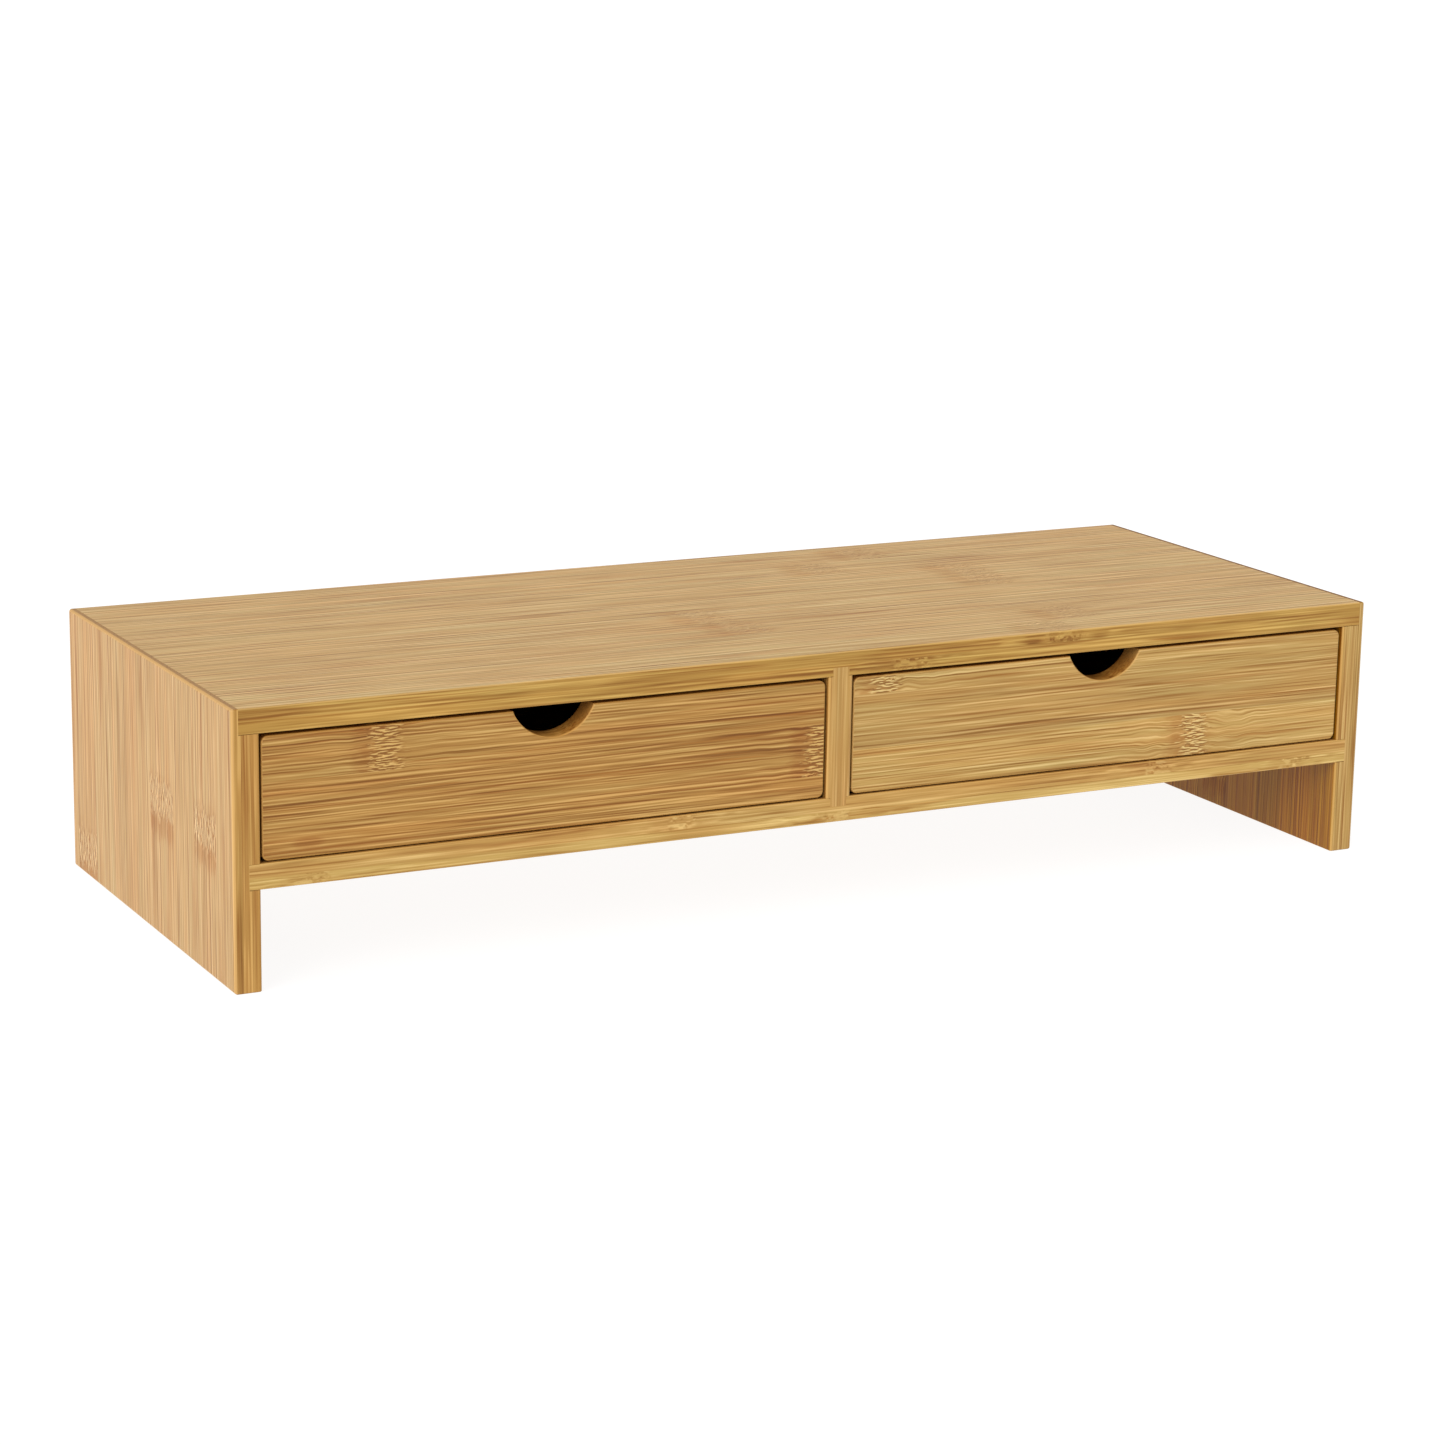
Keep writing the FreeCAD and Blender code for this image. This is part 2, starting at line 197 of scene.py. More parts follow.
# Fine fibre in layers: how long and how wide a layer's streaks are, how far apart, and how strong.
FIBRE_LAYERS = (
    (300.0, 1.00, 1.5, 0.85),
    (110.0, 0.70, 1.0, 0.95),
    (34.0, 0.55, 0.7, 0.95),
)
# Broad bands below them: how long, how wide and how strong.
BAND_LAYERS = (
    (14.0, 0.75, 0.40),
    (300.0, 2.60, 0.15),
    (380.0, 7.00, 0.12),
)
# A streak's length through the board, as a share of its width.
FIBRE_DEPTH = 1.15
# Thin dark lines between the fibres: how long, how far apart, how wide and how dark.
LINE_LAYERS = (
    (300.0, 1.9, 0.13, 0.75),
    (110.0, 1.3, 0.13, 0.70),
)
LINE_DEPTH = 1.2
# The lines come and go in patches.
LINE_PATCH = (60.0, 1.6, 3.0)
LINE_PATCH_FADE = (-0.14, 0.12)

# Colours are shares of a board's own colour.
LINE_SHARE = (0.62, 0.45, 0.24)
DARK_SHARE = (0.60, 0.47, 0.28)
MID_SHARE = (0.92, 0.89, 0.82)
LIGHT_SHARE = (1.36, 1.50, 1.90)
# Where the middle colour lies between dark and light, and how far a fibre moves the colour there.
MID_LEVEL = 0.42
FIBRE_LEVEL = 0.8
# The colour of a strip of the least and of the most warmth.
PALE_STRIP = (0.94, 1.04, 1.12)
RED_STRIP = (1.05, 0.96, 0.89)
# A strip's tone of 0 is this bright, and 1 is brighter by the range.
TONE_LOW = 0.7
TONE_RANGE = 0.6
# Soft patches of pale and red within a strip.
BLUSH = (90.0, 6.0, 12.0)
BLUSH_SHARE = 1.6

# How fibres stray from a straight line: lengths of the noise, then how far it moves them.
WANDER = (140.0, 24.0, 24.0)
WANDER_MOVE = 1.8
SWIRL = (15.0, 6.0, 7.0)
SWIRL_MOVE = 4.0
SWIRL_REACH = (60.0, 4.0)
KNIT = (2.4, 2.6, 3.2)
KNIT_MOVE = 5.0

# A node: its outline is ragged, and its halo lies to one side of its middle. The halo's offset and where it
# and the core fade are shares of the node's length.
RAGGED = (6.0, 1.5, 4.0)
RAGGED_MOVE = 15.0
HALO_OFFSET = 0.4
HALO_OUTSIDE = 1.7
HALO_INSIDE = 0.7
CORE_INSIDE = 0.5
NODE_LENGTH = 8.5
NODE_BROWN = (0.78, 0.60, 0.46)
NODE_BROWN_SHARE = 0.65
# Short bright fibres in a node, raised, each beside a sunk dark one whose darkness is a painted shadow.
DASH = (4.0, 0.8, 1.6)
DASH_STEP = 0.5
DASH_KNIT = 0.06
FLECK_FADE = (0.02, 0.13)
FLECK_SHARE = 0.85
NODE_FLECK = (1.50, 1.80, 2.40)
# The painted shadow beside the flecks: where it fades in, how strong, how much less on an edge, and its
# colour.
PIT_SHADOW_FADE = (-0.04, -0.17)
PIT_SHADOW_SHARE = 0.90
PIT_SHADOW_LESS_ON_EDGE = 0.8
NODE_PIT_SHADOW = (0.50, 0.38, 0.28)
# A small brown eye in the grain fades by the square of the distance, in half sizes of the eye.
EYE_FADE = (1.6, 0.2)

# Cut ends: bundles of fibre in a paler ground.
END_GROUND = (0.74, 0.66, 0.56)
END_BUNDLE = (0.36, 0.27, 0.20)
BUNDLE_CELL = (1.0, 0.85, 0.85)
BUNDLE_SCATTER = 0.9
BUNDLE_FADE = (0.42, 0.22)
BUNDLE_SHARE = 0.75

# How squarely a surface faces along a board's axis, from 0 to 1, to count as its end or its edge. A sanded
# arris no longer faces as a broad face does and doesn't yet face as an edge does.
END_FACING = (0.30, 0.85)
EDGE_FACING = (0.35, 0.75)
LEAVES_FACE = (0.985, 0.86)
REACHES_EDGE = (0.10, 0.40)
# How much paler an arris is: partly sanded wear, partly a painted highlight.
SANDED_AND_HIGHLIGHT_SHARE = (1.30, 1.38, 1.55)
SANDED_AND_HIGHLIGHT_STRENGTH = 0.6

# Lacquer: how rough it is, and how much the grain changes that and stands proud.
LACQUER_ROUGHNESS = 0.46
FIBRE_ROUGHNESS = 0.06
HALO_ROUGHNESS = 0.08
END_ROUGHNESS = 0.12
LACQUER_IOR = 1.48
LACQUER_SHEEN_LEVEL = 0.3
FIBRE_HEIGHT = 0.3
NODE_HEIGHT = 0.9
BUNDLE_HEIGHT = 0.8
BUMP_STRENGTH = 0.35
BUMP_DEPTH = 0.12 * MM

# Node place of a strip that has none, and the spacing of nodes on a board whose strips have one each.
OFF_BOARD = 450.0
ONE_NODE = 900.0
# Ranges that a strip's tone, warmth and width are drawn from. The width's is a share of the usual width.
LOOKS_RANGE = (0.3, 0.7)
WIDTH_RANGE = (0.85, 1.15)
# Two numbers that spread the strips' looks over different parts of the noise.
TONE_SEED = 371.0
WARMTH_SEED = 733.0


def strip(start, tone=0.5, warmth=0.5, node=OFF_BOARD):
    """One strip of a board: where it starts across the board, its looks, and where its node is along it."""
    return start, tone, warmth, node


def random_strips(name, start, end, width, reach):
    """Strips for a face with nothing special on it, always the same for the same name.

    The width is a strip's usual one, and the reach is how far from the middle its node may be.
    """
    draws = random.Random(name)
    made = []
    place = start
    while place < end:
        node = draws.uniform(-reach, reach)
        made.append(strip(place, draws.uniform(*LOOKS_RANGE), draws.uniform(*LOOKS_RANGE), node))
        place += width * draws.uniform(*WIDTH_RANGE)
    return made


class Board:
    """How one board is glued up: its grain, its plies and its strips, in millimetres."""

    def __init__(self, node, along, across, through, plies, spacing=ONE_NODE):
        self.node = node
        self.axes = along, across, through
        self.plies = plies
        self.spacing = spacing
        low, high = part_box(node)
        number = "XYZ".index(across)
        self.edge = low[number] * TO_MM
        self.width = (high[number] - low[number]) * TO_MM

    def strip_ramp(self, finish, v, strips):
        """Each strip's tone, warmth and node place, as the three parts of a stepped ramp."""
        stops = []
        for start, tone, warmth, node in strips:
            place = (start - self.edge) / self.width
            stops.append((min(max(place, 0.0), 1.0), (tone, warmth, (node + self.spacing) / TO_MM)))
        across = (v - self.edge) / self.width
        return finish.node("ShaderNodeValToRGB", {"ramp": "CONSTANT", "stops": stops}, {"Fac": across})

    def strip_looks(self, finish, v, w):
        """The looks of the strip at a place, ply by ply from the low side."""
        looks = self.strip_ramp(finish, v, self.plies[0][1])
        for start, strips in self.plies[1:]:
            looks = finish.blend(w > start, looks, self.strip_ramp(finish, v, strips))
        return looks


def fibre_level(finish, bent):
    """Pale and dark fibres about 0. Each layer is the difference of two noises side by side."""
    fibres = 0.0
    for length, width, weight in BAND_LAYERS:
        fibres = finish.streaks(bent, (length, width, width * FIBRE_DEPTH)) * weight + fibres
    for length, width, apart, weight in FIBRE_LAYERS:
        lengths = length, width, width * FIBRE_DEPTH
        moved = finish.node("ShaderNodeVectorMath", {"operation": "ADD"}, {0: bent, 1: (0.0, apart, 0.0)})
        pairs = finish.streaks(bent, lengths) - finish.streaks(moved, lengths)
        fibres = pairs * weight + fibres
    return fibres


def dark_lines(finish, bent):
    """1 on the thin dark lines, which run where a noise crosses 0."""
    present = finish.streaks(bent, LINE_PATCH).fade(*LINE_PATCH_FADE)
    lines = 0.0
    for length, apart, width, weight in LINE_LAYERS:
        line = abs(finish.streaks(bent, (length, apart, apart * LINE_DEPTH))).fade(width, 0.0)
        lines = line * present * weight + lines
    return lines


def bundle_marks(finish, v, w):
    """1 on the fibre bundles of a cut end."""
    cells = {"Vector": finish.stretched(finish.vector(0.0, v, w), BUNDLE_CELL), "Scale": 1.0,
             "Randomness": BUNDLE_SCATTER}
    return finish.node("ShaderNodeTexVoronoi", {}, cells).fade(*BUNDLE_FADE)


def oval(u, v, eye):
    """1 inside a small brown eye in the grain, fading out round it. The eye is its place and half sizes."""
    along, across, length, height = eye
    u = (u - along) / length
    v = (v - across) / height
    return (u * u + v * v).fade(*EYE_FADE)


def bamboo(board, low_colour, high_colour, edge_colour, contrast, edge_contrast, node_mark=1.0, fleck=1.0,
           node_length=NODE_LENGTH, swirled=0.6, eye=None):
    """Lacquered bamboo: glued strips of straight fibre, with a node across a strip here and there.

    The low and high colours are those of the two broad faces; a face given a darker colour there holds
    painted shade, a paler top or side painted sheen. The edge colour is where the plies are cut.
    Node mark, fleck and swirled say how strong a node's halo, its short bright fibres and its swirl are.
    """
    finish = Finish(board.node + "_bamboo")
    coordinates = finish.node("ShaderNodeTexCoord", {}, {}, "Object")
    place = finish.node("ShaderNodeSeparateXYZ", {}, {0: finish.scaled(coordinates, TO_MM)})
    facing = finish.node("ShaderNodeSeparateXYZ", {}, {0: coordinates.beside("Normal")})
    u, v, w = (place.beside(axis) for axis in board.axes)
    end_face, edge_face, broad_face = (abs(facing.beside(axis)) for axis in board.axes)

    # Which strip this is.
    tone = finish.node("ShaderNodeSeparateColor", {}, {0: board.strip_looks(finish, v, w)})
    warmth = tone.beside(1)
    node_place = tone.beside(2) * TO_MM - board.spacing
    depth = w + (tone * TONE_SEED + warmth * WARMTH_SEED)

    # How far along the strip its node is.
    limits = {0: u - node_place, 1: board.spacing / 2, 2: -board.spacing / 2}
    from_node = finish.node("ShaderNodeMath", {"operation": "WRAP"}, limits)
    straight = finish.vector(u, v, depth)
    ragged = from_node + finish.streaks(straight, RAGGED, detail=1.0) * RAGGED_MOVE
    off_middle = abs(ragged + node_length * HALO_OFFSET)
    halo = off_middle.fade(node_length * HALO_OUTSIDE, node_length * HALO_INSIDE) * node_mark
    core = abs(ragged).fade(node_length, node_length * CORE_INSIDE) * node_mark

    # Fibres run straight, wander a little, and swirl at a node.
    wander = finish.streaks(straight, WANDER) * WANDER_MOVE
    near = abs(from_node).fade(*SWIRL_REACH)
    swirl = finish.streaks(straight, SWIRL, detail=1.0) * near * (SWIRL_MOVE * swirled)
    knit = finish.streaks(straight, KNIT, detail=1.0) * core * KNIT_MOVE
    bent = finish.vector(u, v + wander + swirl + knit, depth)
    fibres = fibre_level(finish, bent)
    lines = dark_lines(finish, bent)

    # The board's edge, where the plies are cut through, has its own colour and contrast.
    on_edge = edge_face.fade(*EDGE_FACING)
    strength = contrast + on_edge * (edge_contrast - contrast)
    # Each broad face takes its own colour: painted shade on faces given a darker one, painted sheen on the
    # paler top and sides.
    faces = finish.blend(facing.beside(board.axes[2]) > 0.0, low_colour, high_colour)
    tint = finish.blend(on_edge, faces, edge_colour)

    # Fibres, then dark lines, then the strip's own brightness and warmth.
    stops = [(0.0, DARK_SHARE), (MID_LEVEL, MID_SHARE), (1.0, LIGHT_SHARE)]
    level = fibres * strength * FIBRE_LEVEL + NOISE_MIDDLE
    shade = finish.node("ShaderNodeValToRGB", {"ramp": "EASE", "stops": stops}, {"Fac": level})
    base = finish.tinted(tint, shade)
    base = finish.blend(lines * strength, base, finish.tinted(base, LINE_SHARE))
    toned = finish.scaled(base, tone * TONE_RANGE + TONE_LOW)
    blush = finish.streaks(straight, BLUSH, detail=2.0) * BLUSH_SHARE
    base = finish.tinted(toned, finish.blend(warmth + blush, PALE_STRIP, RED_STRIP))

    # The node: a brown halo, and short bright fibres where they cross the cut, each beside a sunk dark one
    # whose darkness is a painted shadow.
    if eye:
        halo = halo.larger(oval(u, v, eye))
    base = finish.blend(halo * NODE_BROWN_SHARE, base, finish.tinted(base, NODE_BROWN))
    knitted = v + knit * DASH_KNIT
    dashes = finish.streaks(finish.vector(u, knitted, depth), DASH)
    # The same dashes a step across put a painted shadow beside each bright fleck.
    relief = dashes - finish.streaks(finish.vector(u, knitted + DASH_STEP, depth), DASH)
    flecks = relief.fade(*FLECK_FADE) * core * fleck
    pit_shadows = relief.fade(*PIT_SHADOW_FADE) * core * (1.0 - on_edge * PIT_SHADOW_LESS_ON_EDGE)
    base = finish.blend(flecks * FLECK_SHARE, base, finish.tinted(tint, NODE_FLECK))
    base = finish.blend(pit_shadows * PIT_SHADOW_SHARE, base, finish.tinted(tint, NODE_PIT_SHADOW))

    # End grain: dark bundles in a paler ground.
    on_end = end_face.fade(*END_FACING)
    bundles = bundle_marks(finish, v, w)
    ground = finish.tinted(tint, END_GROUND)
    end_grain = finish.blend(bundles * BUNDLE_SHARE, ground, finish.tinted(tint, END_BUNDLE))
    base = finish.blend(on_end, base, end_grain)

    # Arrises are paler: partly sanded wear, partly a painted highlight where the eased edge catches the
    # light.
    sanded_and_highlit = broad_face.fade(*LEAVES_FACE) * broad_face.fade(*REACHES_EDGE)
    between = finish.blend(0.5, faces, edge_colour)
    base = finish.blend(sanded_and_highlit * SANDED_AND_HIGHLIGHT_STRENGTH, base, finish.tinted(between, SANDED_AND_HIGHLIGHT_SHARE))

    roughness = LACQUER_ROUGHNESS - fibres * FIBRE_ROUGHNESS + halo * HALO_ROUGHNESS + on_end * END_ROUGHNESS
    grain_height = fibres * FIBRE_HEIGHT - lines * FIBRE_HEIGHT
    node_height = flecks * NODE_HEIGHT - pit_shadows * NODE_HEIGHT
    height = grain_height + node_height - bundles * on_end * BUNDLE_HEIGHT
    relief_values = {"Strength": BUMP_STRENGTH, "Distance": BUMP_DEPTH, "Height": height}
    bump = finish.node("ShaderNodeBump", {}, relief_values)
    return finish.surface(Base_Color=base, Roughness=roughness, Normal=bump, IOR=LACQUER_IOR,
                          Specular_IOR_Level=LACQUER_SHEEN_LEVEL)


DOWEL_GRAIN = (14.0, 0.5, 0.5)
DOWEL_FLECK = (1.6, 0.3, 0.3)
DOWEL_FLECK_FADE = (0.08, 0.16)
DOWEL_DARK = (0.46, 0.27, 0.13)
DOWEL_PALE = (0.64, 0.43, 0.24)
DOWEL_FLECK_COLOUR = (0.30, 0.15, 0.06)
DOWEL_GRAIN_SHARE = 2.0
DOWEL_FLECK_SHARE = 0.4
DOWEL_ROUGHNESS = 0.6
DOWEL_GRAIN_ROUGHNESS = 0.2
DOWEL_BUMP_STRENGTH = 0.3
DOWEL_BUMP_DEPTH = 0.1 * MM
DOWEL_IOR = 1.48


def dowel_wood():
    """Plain pale hardwood for the dowels, grain along X."""
    finish = Finish("dowel_beech")
    coordinates = finish.node("ShaderNodeTexCoord", {}, {}, "Object")
    place = finish.scaled(coordinates, TO_MM)
    grain = finish.streaks(place, DOWEL_GRAIN, detail=3.0)
    flecks = finish.streaks(place, DOWEL_FLECK, detail=1.0).fade(*DOWEL_FLECK_FADE)
    base = finish.blend(grain * DOWEL_GRAIN_SHARE + NOISE_MIDDLE, DOWEL_DARK, DOWEL_PALE)
    base = finish.blend(flecks * DOWEL_FLECK_SHARE, base, DOWEL_FLECK_COLOUR)
    roughness = grain * DOWEL_GRAIN_ROUGHNESS + DOWEL_ROUGHNESS
    relief_values = {"Strength": DOWEL_BUMP_STRENGTH, "Distance": DOWEL_BUMP_DEPTH, "Height": grain}
    bump = finish.node("ShaderNodeBump", {}, relief_values)
    return finish.surface(Base_Color=base, Roughness=roughness, Normal=bump, IOR=DOWEL_IOR)


def dress(node, material):
    """Gives a CAD node its finish, in every slot it has."""
    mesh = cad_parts[node].data
    if not mesh.materials:
        mesh.materials.append(material)
    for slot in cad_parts[node].material_slots:
        slot.material = material


# ---------------------------------------------------------------- the boards

# Front and back edges of the carcass's boards, in millimetres.
FRONT, BACK = (round(corner.y * TO_MM, 3) for corner in cad_box)

# Paler and less orange than the fronts: partly the top's own tone, partly a painted sheen of the lacquer.
TOP_AND_SHEEN_COLOUR = (0.604, 0.380, 0.1350)
# Painted shade: a darker colour for faces under the top and the shelf and inside the drawer bays.
UNDER_SHADE_COLOUR = (0.40, 0.21, 0.050)
# Painted shade: a darker colour for the inner faces of the sides, under the top and the shelf.
INNER_SHADE_COLOUR = (0.276, 0.111, 0.0036)
TOP_EDGE_COLOUR = (0.416, 0.225, 0.0442)
SHELF_EDGE_COLOUR = (0.509, 0.302, 0.0839)
# Paler and less orange than the fronts: partly the sides' own tone, partly a painted sheen of the lacquer.
SIDE_AND_SHEEN_COLOUR = (0.519, 0.309, 0.1174)
LEFT_EDGE_COLOUR = (0.463, 0.242, 0.0562)
RIGHT_EDGE_COLOUR = (0.474, 0.278, 0.0799)
DIVIDER_COLOUR = (0.473, 0.270, 0.0763)
LEFT_FRONT_COLOUR = (0.431, 0.229, 0.0555)
RIGHT_FRONT_COLOUR = (0.483, 0.293, 0.0877)
# Darker cut edges of the drawer fronts: partly the end grain's own colour, partly painted shade in the gaps
# and the notch.
RAW_EDGE_AND_SHADE_COLOUR = (0.40, 0.185, 0.034)
BOX_COLOUR = (0.50, 0.29, 0.095)

TOP_UPPER = [
    strip(FRONT, 0.58, 0.35, 113.0),
    strip(-86.0, 0.50, 0.50, 137.0),
    strip(-60.0, 0.49, 0.55, -16.0),
    strip(-33.0, 0.50, 0.50, -22.0),
    strip(-5.0, 0.53, 0.42, 144.0),
    strip(20.0, 0.50, 0.50, 146.0),
    strip(47.0, 0.48, 0.54, 80.0),
    strip(73.0, 0.50, 0.55, 117.0),
    strip(99.5, 0.48, 0.60),
]
LEFT_SIDE_OUTER = [
    strip(FRONT, 0.52, 0.42),
    strip(-88.0, 0.51, 0.50, 62.0),
    strip(-60.5, 0.53, 0.42),
    strip(-34.0, 0.49, 0.56, 61.0),
    strip(-4.0, 0.52, 0.44),
    strip(16.0, 0.46, 0.78),
    strip(27.0, 0.50, 0.50),
    strip(47.0, 0.52, 0.42),
    strip(72.5, 0.47, 0.66, 13.0),
    strip(99.5, 0.48, 0.74),
]
LEFT_FRONT_FACE = [
    strip(55.0, 0.52, 0.55),
    strip(65.0, 0.49, 0.56, -9.5),
    strip(88.0, 0.50, 0.46, -213.0),
]
LEFT_FRONT_EYE = (-247.0, 61.0, 7.0, 2.4)
RIGHT_FRONT_FACE = [
    strip(55.0, 0.68, 0.38, 187.5),
    strip(74.5, 0.30, 0.66),
    strip(79.5, 0.45, 0.55),
    strip(99.5, 0.54, 0.46, 23.0),
]

# Where each ply starts through its board, from the low side up. The first starts at the board's low face.
TOP_LOWER_PLY = 109.0
TOP_UPPER_PLY = 114.5
SHELF_LOWER_PLY = 43.5
SHELF_UPPER_PLY = 48.3
SHELF_NODE_SPACING = 245.0
LEFT_PLIES = (-280.0, -276.0, -272.0)
RIGHT_PLIES = (268.0, 273.0, 276.0)
# Each ply of the divider: where it starts and its tone at the front edge.
DIVIDER_PLIES = ((-6.0, 0.56), (-2.0, 0.44), (1.7, 0.60))
DRAWER_FACE_PLY = -106.5
DRAWER_BACK_PLY = -101.0
# How far up the strips on the back of a drawer front reach.
DRAWER_FRONT_LOW = 55.0
DRAWER_FRONT_HIGH = 108.0


def top_board():
    lower = random_strips("under_top", FRONT, BACK, width=20.0, reach=250.0)
    lower[0] = strip(FRONT, 0.66, 0.35, 35.0)
    return Board("top_panel", "X", "Y", "Z", [(TOP_LOWER_PLY, lower), (TOP_UPPER_PLY, TOP_UPPER)])


def shelf_board():
    upper = random_strips("shelf_upper", FRONT, BACK, width=21.0, reach=250.0)
    upper[0] = strip(FRONT, 0.46, 0.60, -78.0)
    lower = random_strips("shelf_lower", FRONT, BACK, width=20.0, reach=120.0)
    lower[0] = strip(FRONT, 0.76, 0.05, -2.0)
    plies = [(SHELF_LOWER_PLY, lower), (SHELF_UPPER_PLY, upper)]
    return Board("shelf_panel", "X", "Y", "Z", plies, SHELF_NODE_SPACING)


def side_board(side, outer):
    """A side: three plies, the outer one first on the left and last on the right."""
    middle = random_strips(side + "_middle", FRONT, BACK, width=24.0, reach=400.0)
    middle[0] = strip(FRONT, 0.42, 0.55)
    inner = random_strips(side + "_inner", FRONT, BACK, width=21.0, reach=400.0)
    inner[0] = strip(FRONT, 0.52, 0.45)
    if side == "left":
        plies = list(zip(LEFT_PLIES, (outer, middle, inner)))
    else:
        plies = list(zip(RIGHT_PLIES, (inner, middle, outer)))
    return Board(side + "_side_panel", "Z", "Y", "X", plies)


def divider_board():
    plies = []
    for start, tone in DIVIDER_PLIES:
        strips = random_strips("divider" + str(start), FRONT, BACK, width=22.0, reach=600.0)
        strips[0] = strip(FRONT, tone, 0.45)
        plies.append((start, strips))
    return Board("centre_divider", "Z", "Y", "X", plies)


def front_board(side, face):
    name = side + "_front_back"
    back = random_strips(name, DRAWER_FRONT_LOW, DRAWER_FRONT_HIGH, width=19.0, reach=280.0)
    return Board(side + "_drawer_front", "X", "Z", "Y", [(DRAWER_FACE_PLY, face), (DRAWER_BACK_PLY, back)])


def plain_board(node, along, across, through, width):
    """A board of one ply that shows only inside or behind."""
    low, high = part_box(node)
    number = "XYZ".index(across)
    start = low[number] * TO_MM
    strips = random_strips(node, start, high[number] * TO_MM, width, reach=400.0)
    return Board(node, along, across, through, [(0.0, strips)])


def finish_carcass():
    # Darker colours on faces under the top and the shelf, in the bays and inside the sides are painted
    # shade; the paler top and outer sides hold a painted sheen.
    top = bamboo(top_board(), UNDER_SHADE_COLOUR, TOP_AND_SHEEN_COLOUR, TOP_EDGE_COLOUR, contrast=0.85, edge_contrast=0.75,
                 node_mark=0.62, fleck=0.6, node_length=12.0)
    dress("top_panel", top)

    shelf = bamboo(shelf_board(), UNDER_SHADE_COLOUR, UNDER_SHADE_COLOUR, SHELF_EDGE_COLOUR, contrast=0.8,
                   edge_contrast=0.7, node_mark=0.45, fleck=0.9)
    dress("shelf_panel", shelf)

    left = side_board("left", LEFT_SIDE_OUTER)
    left_side = bamboo(left, SIDE_AND_SHEEN_COLOUR, INNER_SHADE_COLOUR, LEFT_EDGE_COLOUR, contrast=0.7, edge_contrast=0.7,
                       node_length=10.0)
    dress("left_side_panel", left_side)

    right_outer = random_strips("right_outer", FRONT, BACK, width=22.0, reach=250.0)
    right = side_board("right", right_outer)
    right_side = bamboo(right, INNER_SHADE_COLOUR, SIDE_AND_SHEEN_COLOUR, RIGHT_EDGE_COLOUR, contrast=0.7, edge_contrast=0.7,
                        node_length=10.0)
    dress("right_side_panel", right_side)

    divider = bamboo(divider_board(), UNDER_SHADE_COLOUR, UNDER_SHADE_COLOUR, DIVIDER_COLOUR, contrast=0.8,
                     edge_contrast=0.6, node_mark=0.8, fleck=0.6)
    dress("centre_divider", divider)

    back_board = plain_board("back_panel", "X", "Z", "Y", width=21.0)
    back = bamboo(back_board, UNDER_SHADE_COLOUR, SIDE_AND_SHEEN_COLOUR, SIDE_AND_SHEEN_COLOUR, contrast=0.8, edge_contrast=0.8)
    dress("back_panel", back)


def finish_drawer(side, face, colour, contrast, swirled, eye):
    front = front_board(side, face)
    # The front's cut edges take a darker colour, partly painted shade.
    material = bamboo(front, colour, BOX_COLOUR, RAW_EDGE_AND_SHADE_COLOUR, contrast=contrast, edge_contrast=0.8,
                      swirled=swirled, eye=eye)
    dress(front.node, material)
    drawer = side + "_drawer_"
    boards = [
        plain_board(drawer + "left_side", "Y", "Z", "X", width=20.0),
        plain_board(drawer + "right_side", "Y", "Z", "X", width=20.0),
        plain_board(drawer + "back", "X", "Z", "Y", width=20.0),
        plain_board(drawer + "bottom", "X", "Y", "Z", width=26.0),
    ]
    for board in boards:
        dress(board.node, bamboo(board, BOX_COLOUR, BOX_COLOUR, BOX_COLOUR, contrast=0.7, edge_contrast=0.7))


finish_carcass()
finish_drawer("left", LEFT_FRONT_FACE, LEFT_FRONT_COLOUR, contrast=1.0, swirled=0.5, eye=LEFT_FRONT_EYE)
finish_drawer("right", RIGHT_FRONT_FACE, RIGHT_FRONT_COLOUR, contrast=0.74, swirled=1.6, eye=None)
dowel_material = dowel_wood()
for node_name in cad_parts:
    if "dowels" in node_name:
        dress(node_name, dowel_material)


# ---------------------------------------------------------------- floor, light and camera

FLOOR_REACH = 40.0
FLOOR_DARK = (0.11, 0.11, 0.11)
FLOOR_PALE = (0.13, 0.13, 0.13)
FLOOR_ROUGHNESS = 0.9
FLOOR_GLOW = 0.91
WHITE = (1.0, 1.0, 1.0, 1.0)
KEY_FROM = Vector((-0.75, -0.45, 0.50))
KEY_STRENGTH = 2.1
KEY_SPREAD = math.radians(40.0)
KEY_DISTANCE = 2.0
AIR_STRENGTH = 0.7


def pale_floor():
    """A wide sheet of white paper that glows, so that shadows on it stay faint."""
    finish = Finish("floor_paper")
    coordinates = finish.node("ShaderNodeTexCoord", {}, {}, "Object")
    mottle = finish.node("ShaderNodeTexNoise", {}, {"Vector": coordinates, "Scale": 3.0, "Detail": 2.0})
    base = finish.blend(mottle, FLOOR_DARK, FLOOR_PALE)
    material = finish.surface(Base_Color=base, Roughness=FLOOR_ROUGHNESS, Emission_Color=WHITE,
                              Emission_Strength=FLOOR_GLOW)
    shape = bmesh.new()
    bmesh.ops.create_grid(shape, x_segments=2, y_segments=2, size=FLOOR_REACH)
    mesh = bpy.data.meshes.new("floor")
    shape.to_mesh(mesh)
    shape.free()
    mesh.materials.append(material)
    floor = bpy.data.objects.new("floor", mesh)
    bpy.context.scene.collection.objects.link(floor)


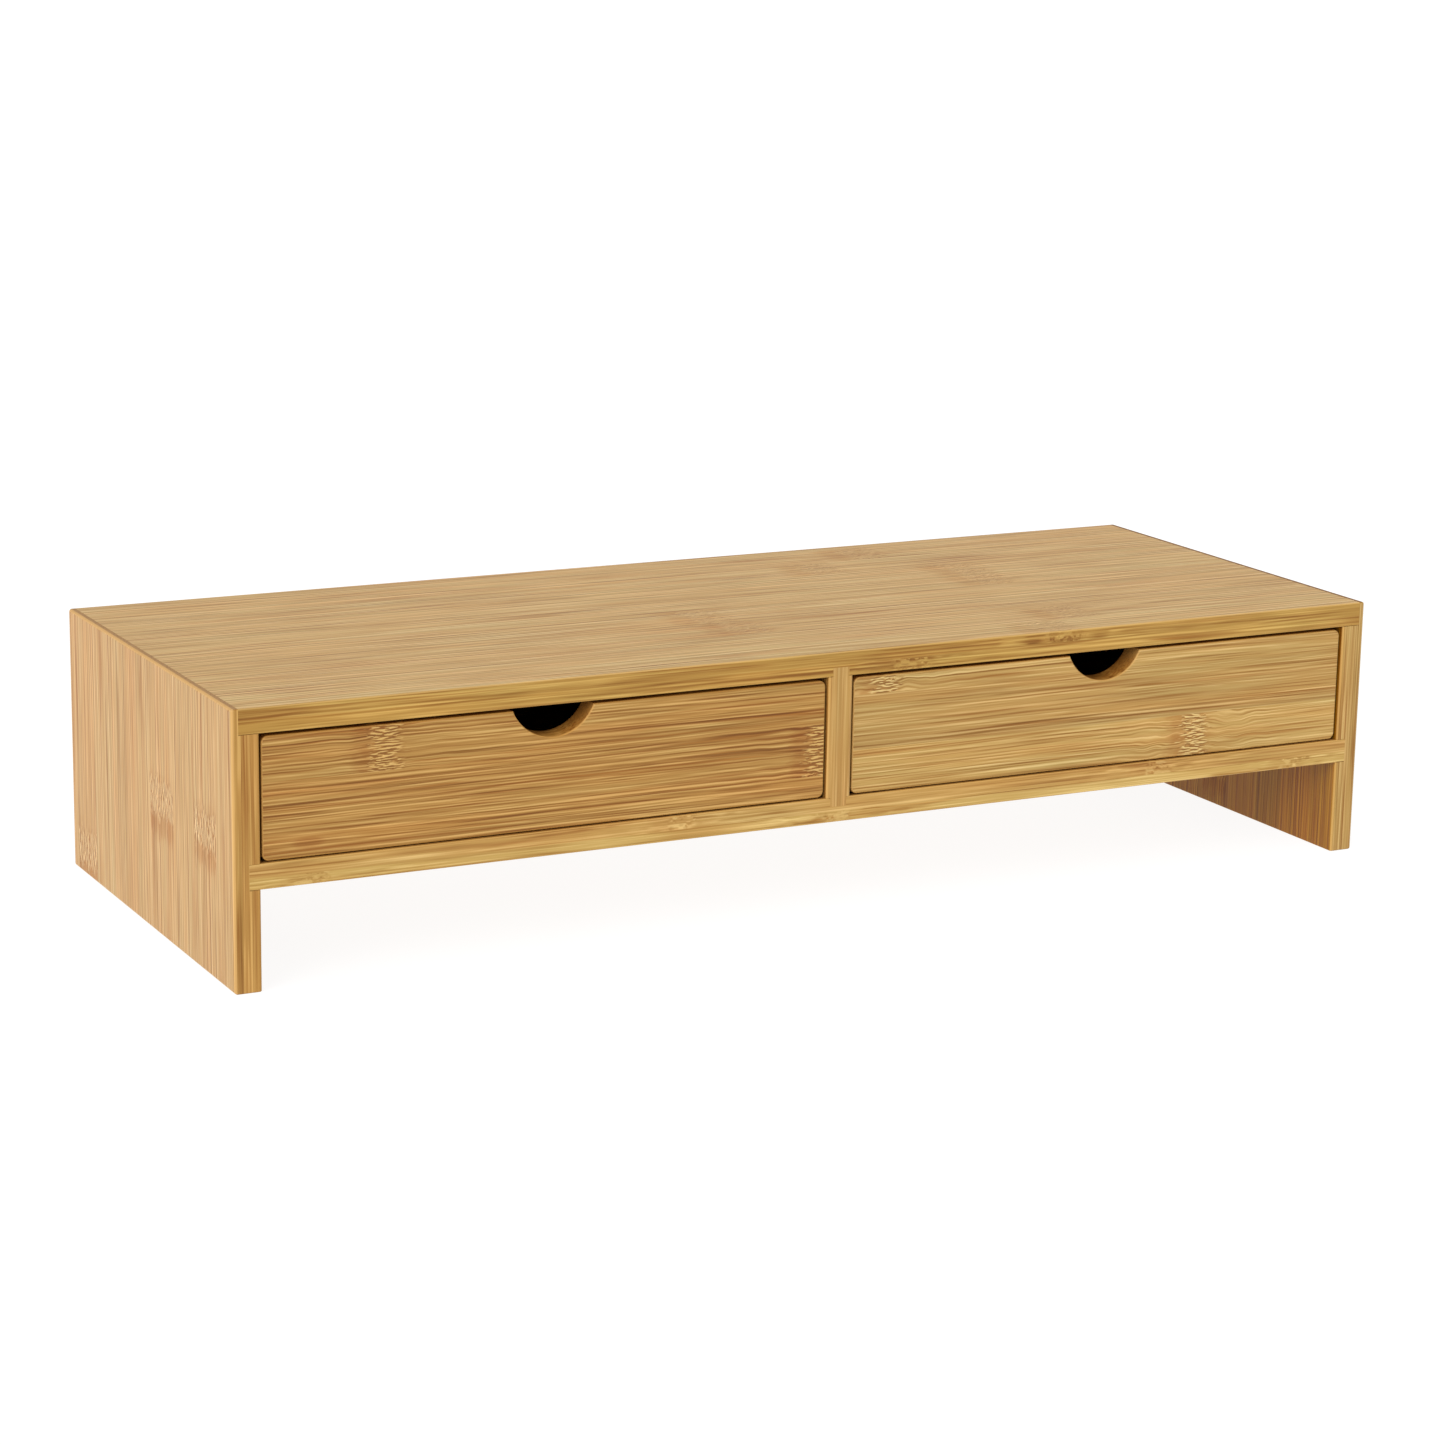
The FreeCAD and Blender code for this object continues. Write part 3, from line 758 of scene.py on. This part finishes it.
def soft_sun(name, towards, strength, spread):
    """A broad, even light from one side, the same over the whole floor."""
    light = bpy.data.lights.new(name, "SUN")
    light.energy = strength
    light.angle = spread
    lamp = bpy.data.objects.new(name, light)
    lamp.rotation_euler = towards.to_track_quat("Z", "Y").to_euler()
    lamp.location = towards * KEY_DISTANCE
    bpy.context.scene.collection.objects.link(lamp)


def studio_air(strength):
    """Even white light from all round."""
    world = bpy.data.worlds.new("studio")
    world.use_nodes = True
    background = world.node_tree.nodes["Background"]
    background.inputs["Color"].default_value = WHITE
    background.inputs["Strength"].default_value = strength
    bpy.context.scene.world = world


CAMERA_AZIMUTH = math.radians(27.34)
CAMERA_ELEVATION = math.radians(13.52)
CAMERA_ROLL = math.radians(0.992)
CAMERA_DISTANCE = 1.7158
CAMERA_LENS = 92.3
CAMERA_SENSOR = 36.0
CAMERA_NEAR = 0.05
CAMERA_FAR = 200.0
AIM_OFFSET = Vector((-0.0023, 0.0, 0.0047))


def studio_camera():
    """Stands to the left of the front, a little above the top, and leans slightly."""
    low, high = cad_box
    aim = (low + high) / 2 + AIM_OFFSET
    level = math.cos(CAMERA_ELEVATION)
    back = Vector((-math.sin(CAMERA_AZIMUTH) * level, -math.cos(CAMERA_AZIMUTH) * level,
                   math.sin(CAMERA_ELEVATION)))
    data = bpy.data.cameras.new("camera")
    data.sensor_width = CAMERA_SENSOR
    data.lens = CAMERA_LENS
    data.clip_start = CAMERA_NEAR
    data.clip_end = CAMERA_FAR
    camera = bpy.data.objects.new("camera", data)
    turned = back.to_track_quat("Z", "Y").to_matrix().to_4x4()
    camera.matrix_world = (Matrix.Translation(aim + back * CAMERA_DISTANCE) @ turned
                           @ Matrix.Rotation(CAMERA_ROLL, 4, "Z"))
    bpy.context.scene.collection.objects.link(camera)
    bpy.context.scene.camera = camera


pale_floor()
soft_sun("key_light", KEY_FROM, KEY_STRENGTH, KEY_SPREAD)
studio_air(AIR_STRENGTH)
studio_camera()
bpy.context.scene.view_settings.view_transform = "Standard"
